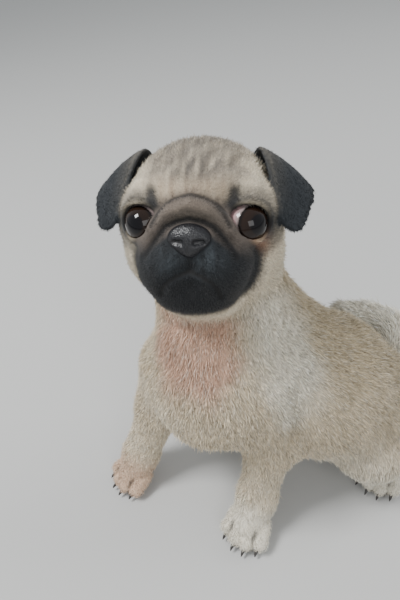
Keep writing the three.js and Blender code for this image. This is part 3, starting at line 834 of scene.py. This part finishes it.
def eye_material():
    """Rings about the eye's own axis, which is its object's Z: pupil, iris, dark rim, white."""
    made, nodes, links, shader = material("eye")
    place = node(nodes, "ShaderNodeTexCoord")
    split = node(nodes, "ShaderNodeSeparateXYZ")
    links.new(place.outputs["Object"], split.inputs[0])
    flat = node(nodes, "ShaderNodeCombineXYZ")
    links.new(split.outputs["X"], flat.inputs["X"])
    links.new(split.outputs["Y"], flat.inputs["Y"])
    reach = node(nodes, "ShaderNodeVectorMath", operation="LENGTH")
    links.new(flat.outputs[0], reach.inputs[0])
    scaled = node(nodes, "ShaderNodeMath", operation="DIVIDE")
    scaled.inputs[1].default_value = EYE_RADIUS * MM
    links.new(reach.outputs["Value"], scaled.inputs[0])
    fibres = node(nodes, "ShaderNodeTexNoise", Scale=900.0, Detail=2.0)
    links.new(place.outputs["Object"], fibres.inputs["Vector"])
    jitter = node(nodes, "ShaderNodeMath", operation="MULTIPLY_ADD")
    jitter.inputs[1].default_value = 0.05
    links.new(fibres.outputs["Fac"], jitter.inputs[0])
    links.new(scaled.outputs[0], jitter.inputs[2])
    rings = node(nodes, "ShaderNodeValToRGB")
    stops = ((0.0, (0.001, 0.001, 0.002)), (0.44, (0.002, 0.001, 0.002)), (0.50, (0.012, 0.006, 0.004)),
             (0.74, (0.016, 0.008, 0.005)), (0.84, (0.003, 0.002, 0.002)), (0.89, (0.26, 0.21, 0.20)),
             (0.97, (0.42, 0.27, 0.27)))
    ramp = rings.color_ramp
    while len(ramp.elements) < len(stops):
        ramp.elements.new(0.5)
    for element, (at, colour) in zip(ramp.elements, stops):
        element.position = at
        element.color = (*colour, 1)
    links.new(jitter.outputs[0], rings.inputs["Fac"])
    links.new(rings.outputs["Color"], shader.inputs["Base Color"])
    shader.inputs["Roughness"].default_value = 0.06
    shader.inputs["Specular IOR Level"].default_value = 0.35
    return made


# The skin
def vertex_normals(points, quads):
    """A normal for each vertex, and an area for each quad."""
    cross = np.cross(points[quads[:, 2]] - points[quads[:, 0]], points[quads[:, 3]] - points[quads[:, 1]])
    total = np.zeros_like(points)
    for n in range(4):
        for axis in range(3):
            total[:, axis] += np.bincount(quads[:, n], weights=cross[:, axis], minlength=len(points))
    return unit(total), np.linalg.norm(cross, axis=1) / 2


points, quads = surface(skin_field, LOW, HIGH, CELL)
normals, areas = vertex_normals(points, quads)
colours = coat_colour(points)
corner_uv = unwrap(points, normals)[quads.ravel()]
# Painted shade: the skin under the tufts gets the coat's colours darkened to 0.82
skin = new_mesh("pug_skin", points, quads, uvs=corner_uv, colours=colours * 0.82)
skin.data.materials.append(skin_look)
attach(skin, "root")
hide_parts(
    "head", "neck", "chest", "hindquarters", "tail", "ear_left", "ear_right",
    "foreleg_left", "foreleg_right", "forepaw_left", "forepaw_right",
    "thigh_left", "thigh_right", "hindpaw_left", "hindpaw_right",
)


# The coat: tufts rooted in the skin, lying along the body
BODY_HAIR, HEAD_HAIR, PAW_HAIR, EAR_HAIR = 4.2, 3.6, 1.9, 1.4


def hair_length(p, h, on_head):
    """Short on feet, face and ears, longer on the tail."""
    base = BODY_HAIR + 0.8 * wobble(p, 14, 11)
    base = base - 1.0 * smooth(60, 20, p[:, 2]) * smooth(44, 20, p[:, 1])
    tail = cord(TAIL, *TAIL_RADII)(p)
    base = base + 2.4 * smooth(6, 0, tail)
    near_paw = np.max([smooth(40, 22, np.linalg.norm(p - tip, axis=1)) for tip in PAW_TIPS], axis=0)
    base = base * (1 - near_paw) + PAW_HAIR * near_paw
    head = HEAD_HAIR - 1.9 * smooth(0, -26, h[:, 1])
    on_ears = smooth(2, 1, np.min([ear_field(h, side) for side in (1, -1)], axis=0))
    head = head * (1 - on_ears) + EAR_HAIR * on_ears
    return base * (1 - on_head) + head * on_head


def scatter(density, count):
    """Roots at random on the skin, more of them where the density is high."""
    middle = points[quads].mean(1)
    weight = areas * density(middle)
    chosen = rng.choice(len(quads), count, p=weight / weight.sum())
    a, b = rng.random(count)[:, None], rng.random(count)[:, None]
    corner = points[quads[chosen]]
    near = corner[:, 0] * (1 - a) + corner[:, 1] * a
    far = corner[:, 3] * (1 - a) + corner[:, 2] * a
    return near * (1 - b) + far * b, normals[quads[chosen, 0]]


def clear_of_holes(h):
    """0 where no hair grows: on the rims of the lids, the creases and the nose leather."""
    rims = np.ones(len(h))
    for side in (1, -1):
        edge, away = lid_edge(h, side)
        rims *= 1 - smooth(1.6, 0.7, edge) * smooth(EYE_RADIUS + 5, EYE_RADIUS + 3, away)
    flat = np.stack([np.abs(h[:, 0]), h[:, 1] * 0, h[:, 2]], 1)
    for crease, _, _ in CREASES:
        line = cord([(a, 0, b) for a, b in crease], 0, 0)(flat)
        rims *= 1 - smooth(1.5, 0.6, line) * smooth(-22, -28, h[:, 1])
    return rims * smooth(-0.2, 0.8, pebble(LEATHER_AT, LEATHER_SIZE)(h))


SECTION = ((-1.0, 0.0), (1.0, 0.0), (0.0, 0.7))   # of a tuft, in half widths
TUFT_SINK = 0.35               # how deep each tuft starts below the skin
TUFT_SCATTER = 0.22            # how far the tufts stray from the lie of the coat
# The coat stays inside the box of the solids
COAT_LIMITS = [vec(corner) / MM - SHIFT + inset for corner, inset in zip(CAD_BOX, (0.1, -0.1))]
PATCH = 0.003                  # of the OFBake map, one for each tuft
TIP_TONE = tone(240, 236, 226)
# Painted shade and light along each tuft: darker at the root, lighter at the tip
ROOT_PAINTED_SHADE, BEND_SHADE, TIP_PAINTED_LIGHT = 0.8, 1.0, 1.15


def tufts(name, roots, root_normals, lengths, widths, lifts, bent):
    """Closed slivers of three sides, straight or with one bend."""
    count = len(roots)
    along = lie(roots, root_normals)
    along = unit(along + TUFT_SCATTER * rng.normal(size=(count, 3)))
    along -= root_normals * np.minimum(0, (along * root_normals).sum(1))[:, None]
    side = unit(np.cross(along, root_normals))
    over = np.cross(side, along)
    start = roots - root_normals * TUFT_SINK
    tip = roots + along * lengths[:, None] + root_normals * lifts[:, None]
    rings = [(start, 1.0)]
    if bent:
        middle = roots + along * lengths[:, None] * 0.5 + root_normals * lifts[:, None] * 0.85
        rings.append((middle, 0.8))
    corners = []
    for centre, share in rings:
        for across, up in SECTION:
            corners.append(centre + (side * across + over * up) * widths[:, None] * share)
    corners.append(tip)
    per = len(corners)
    vertices = np.clip(np.stack(corners, 1).reshape(-1, 3), *COAT_LIMITS)
    faces = [(0, 2, 1)]
    for ring in range(len(rings) - 1):
        for n in range(3):
            a, b = ring * 3 + n, ring * 3 + (n + 1) % 3
            faces += [(a, b, b + 3), (a, b + 3, a + 3)]
    last = (len(rings) - 1) * 3
    faces += [(last + n, last + (n + 1) % 3, per - 1) for n in range(3)]
    faces = (np.arange(count)[:, None, None] * per + np.array(faces)).reshape(-1, 3)
    base = coat_colour(roots)
    light = 1 + 0.16 * rng.normal(size=(count, 1))
    h = into_head(roots)
    body = 1 - head_share(h)
    back = smooth(60, 90, roots[:, 2]) * smooth(30, 55, roots[:, 1]) * body
    back = back * smooth(0, 6, cord(TAIL, *TAIL_RADII)(roots))
    dark = (rng.random(count) < 0.04 + 0.16 * back) * body
    pale = (rng.random(count) < 0.25) * body
    colour = base * np.clip(light, 0.6, 1.5)
    colour = colour * (1 - 0.35 * dark[:, None])
    colour = lay(colour, TIP_TONE, 0.3 * pale)
    # Painted shade at the root of each tuft, painted light at its tip
    shades = [ROOT_PAINTED_SHADE] * 3 + ([BEND_SHADE] * 3 if bent else []) + [TIP_PAINTED_LIGHT]
    colours = np.clip(np.stack([colour * shade for shade in shades], 1), 0, 1).reshape(-1, 3)
    place = unwrap(roots, root_normals)
    patch = [(-0.5, -0.5), (0.5, -0.5), (0, -0.3)]
    if bent:
        patch += [(-0.4, 0.1), (0.4, 0.1), (0, 0.2)]
    patch.append((0, 0.5))
    uv = (place[:, None, :] + np.array(patch) * PATCH).reshape(-1, 2)[faces.ravel()]
    piece = new_mesh(name, vertices, faces, uvs=uv, colours=colours)
    piece.data.materials.append(tuft_look)
    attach(piece, "root")


def body_density(p):
    return (1 - head_share(into_head(p))) * smooth(1.0, 3.0, p[:, 2])


def head_density(p):
    """More tufts towards the face, where they are short and fine."""
    h = into_head(p)
    return head_share(h) * clear_of_holes(h) * (0.6 + 0.9 * smooth(10, -20, h[:, 1]))


SHARE = 1.0
BODY_TUFTS = int(76000 * SHARE)
HEAD_TUFTS = int(120000 * SHARE)
BODY_PIECES, HEAD_PIECES = 4, 3
for part in range(BODY_PIECES):
    roots, root_normals = scatter(body_density, BODY_TUFTS // BODY_PIECES)
    h = into_head(roots)
    lengths = hair_length(roots, h, head_share(h)) * rng.uniform(0.75, 1.25, len(roots))
    lifts = 0.7 + 0.7 * rng.random(len(roots)) * lengths / 5
    tufts(f"coat_body_{part + 1}", roots, root_normals, lengths, 0.03 * lengths + 0.08, lifts, True)
for part in range(HEAD_PIECES):
    roots, root_normals = scatter(head_density, HEAD_TUFTS // HEAD_PIECES)
    h = into_head(roots)
    lengths = hair_length(roots, h, head_share(h)) * rng.uniform(0.75, 1.25, len(roots))
    lifts = 0.1 + 0.12 * lengths * rng.random(len(roots))
    tufts(f"coat_head_{part + 1}", roots, root_normals, lengths, 0.04 * lengths + 0.07, lifts, False)


# Eyes, each a ball with a cornea that stands out a little, turned along its own gaze
EYE_GAZE = {1: (0.85, -1, 0.04), -1: (-0.36, -1, 0.02)}
CORNEA_RISE = 0.5
CORNEA_HALF = 0.71             # radians from the gaze to the cornea's rim


def eye(side, stands_for):
    shape = bmesh.new()
    bmesh.ops.create_uvsphere(shape, u_segments=48, v_segments=36, radius=EYE_RADIUS * MM)
    for vertex in shape.verts:
        tilt = math.acos(max(-1, min(1, vertex.co.z / (EYE_RADIUS * MM))))
        rise = max(0, math.cos(tilt / CORNEA_HALF * math.pi / 2)) if tilt < CORNEA_HALF else 0
        vertex.co *= 1 + CORNEA_RISE / EYE_RADIUS * rise
    for face in shape.faces:
        face.smooth = True
    mesh = bpy.data.meshes.new(f"pug_{stands_for}")
    shape.to_mesh(mesh)
    shape.free()
    ball = bpy.data.objects.new(f"pug_{stands_for}", mesh)
    bpy.context.scene.collection.objects.link(ball)
    gaze = Vector(head_turn @ unit(vec(EYE_GAZE[side])))
    centre = Vector(to_metres(out_of_head(vec((EYE_AT[0] * side, *EYE_AT[1:])))))
    ball.matrix_world = Matrix.Translation(centre) @ gaze.to_track_quat("Z", "Y").to_matrix().to_4x4()
    mesh.materials.append(eye_look)
    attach(ball, "root")
    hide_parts(stands_for)


eye_look = eye_material()
eye(1, "eye_left")
eye(-1, "eye_right")


# The nose leather, with its two nostrils
def nose_field(p):
    h = into_head(p)
    value = blend(pebble(LEATHER_AT, LEATHER_SIZE)(h), pebble((0, -39.8, -8.2), (3.8, 3.6, 3.4))(h), 4)
    for side in (1, -1):
        x, y, z = NOSTRIL_AT
        hole = cord(((x * side, y, z), ((x + 2.8) * side, y + 1.4, z + 0.2)), 1.5, 1.0)(h)
        value = -blend(-value, hole, 0.9)
    cleft = cord(((0, -46, -2), (0, -45.4, -6), (0, -43.5, -12)), 0.5, 0.5)(h)
    return -blend(-value, cleft, 0.8)


def closed_piece(name, field, low, high, cell, look):
    """A field meshed within a box and made a finished piece."""
    points, quads = surface(field, low, high, cell)
    uvs = unwrap(points, vertex_normals(points, quads)[0])[quads.ravel()]
    piece = new_mesh(name, points, quads, uvs=uvs)
    piece.data.materials.append(look)
    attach(piece, "root")
    return piece


NOSE_REACH = 13                # half the box that the nose is meshed in
NOSE_CELL = 0.35
nose_middle = out_of_head(vec(NOSE_AT))
nose_piece = closed_piece(
    "pug_nose", nose_field, nose_middle - NOSE_REACH, nose_middle + NOSE_REACH, NOSE_CELL,
    nose_material(),
)
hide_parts("nose")


# Claws: short dark cones, one for each toe
CLAW_LENGTH = 3.0
CLAW_HEIGHT = 5.0              # above the floor, where a claw leaves its toe
CLAW_REACH = 24                # half the box that one paw's claws are meshed in
CLAW_CELL = 0.4


def claws(name, toes_points):
    forms = []
    for base, aim in toes_points:
        bend = base + aim * CLAW_LENGTH * 0.6 - (0, 0, 0.6)
        tip = base + aim * CLAW_LENGTH - (0, 0, 1.6)
        forms += [bone(base, bend, 1.1, 0.8), bone(bend, tip, 0.8, 0.35)]

    def field(p):
        return np.maximum(np.min([form(p) for form in forms], axis=0), 0.2 - p[:, 2])
    middle = np.mean([base for base, _ in toes_points], axis=0)
    low, high = middle - CLAW_REACH, middle + CLAW_REACH
    closed_piece(name, field, low, high, CLAW_CELL, claw_look)


def claw_bases(wrist, toes):
    """Where each claw leaves its toe, and the way it points."""
    aim, side, at = paw_frame(wrist, toes)
    return [
        (at(toe_back(place) + 4.4, place * TOE_SPACING, CLAW_HEIGHT), unit(aim + side * place * 0.06))
        for place in TOE_PLACES
    ]


claw_look = claw_material()
PAWS = {
    "claws_fore_left": (FORELEGS[0]["wrist"], FORELEGS[0]["toes"]),
    "claws_fore_right": (FORELEGS[1]["wrist"], FORELEGS[1]["toes"]),
    "claws_hind_left": (HINDLEGS[0]["hock"], HINDLEGS[0]["toes"]),
    "claws_hind_right": (HINDLEGS[1]["hock"], HINDLEGS[1]["toes"]),
}
for name, (wrist, toes) in PAWS.items():
    claws(name, claw_bases(wrist, toes))


# The stage: a pale floor, a soft studio and the photographed view
FLOOR_SIZE = 16.0              # metres
# Each lamp's name, place in metres, power in watts and width
LAMPS = (
    ("key", (-0.35, -0.60, 1.25), 20.0, 0.40),
    ("fill", (1.05, -0.35, 0.85), 5.0, 0.7),
    ("rim", (0.35, 1.10, 0.85), 7.0, 0.6),
)
bpy.ops.mesh.primitive_plane_add(size=FLOOR_SIZE)
floor = bpy.context.object
floor.name = "floor"
floor_look, _, _, floor_shader = material("floor")
floor_shader.inputs["Base Color"].default_value = (0.50, 0.50, 0.49, 1)
floor_shader.inputs["Roughness"].default_value = 0.8
floor.data.materials.append(floor_look)
for name, place, power, width in LAMPS:
    light = bpy.data.lights.new(name, "AREA")
    light.energy = power
    light.size = width
    lamp = bpy.data.objects.new(name, light)
    bpy.context.scene.collection.objects.link(lamp)
    lamp.location = place
    lamp.visible_glossy = name != "rim"
    aim = Vector((0, 0, 0.1)) - Vector(place)
    lamp.rotation_euler = aim.to_track_quat("-Z", "Y").to_euler()
world = bpy.data.worlds.new("studio")
world.use_nodes = True
world.node_tree.nodes["Background"].inputs["Color"].default_value = (0.93, 0.97, 1.0, 1)
world.node_tree.nodes["Background"].inputs["Strength"].default_value = 0.62
bpy.context.scene.world = world


def photographed_view():
    """The camera of the photo, from where its upright lines meet below the frame."""
    width, height = FRAME_PIXELS
    down = unit(vec((NADIR[0] - width / 2, NADIR[1] - height / 2, FOCAL_PIXELS)))
    ahead = vec((0, math.sqrt(1 - down[2] ** 2), -down[2]))
    right_z = -down[0]
    right_y = -right_z * ahead[2] / ahead[1]
    right = vec((math.sqrt(1 - right_y ** 2 - right_z ** 2), right_y, right_z))
    turn = np.array(Matrix.Rotation(VIEW_TURN, 3, "Z"))
    axes = np.stack([turn @ right, turn @ np.cross(right, ahead), -(turn @ ahead)], 1)
    made = bpy.data.cameras.new("photographed_view")
    made.sensor_fit = "AUTO"
    made.sensor_width = 36.0
    made.lens = FOCAL_PIXELS * made.sensor_width / max(FRAME_PIXELS)
    camera = bpy.data.objects.new("photographed_view", made)
    bpy.context.scene.collection.objects.link(camera)
    camera.matrix_world = (
        Matrix.Translation(Vector(to_metres(vec(CAMERA_AT)))) @ Matrix(axes.tolist()).to_4x4()
    )
    return camera


bpy.context.scene.camera = photographed_view()
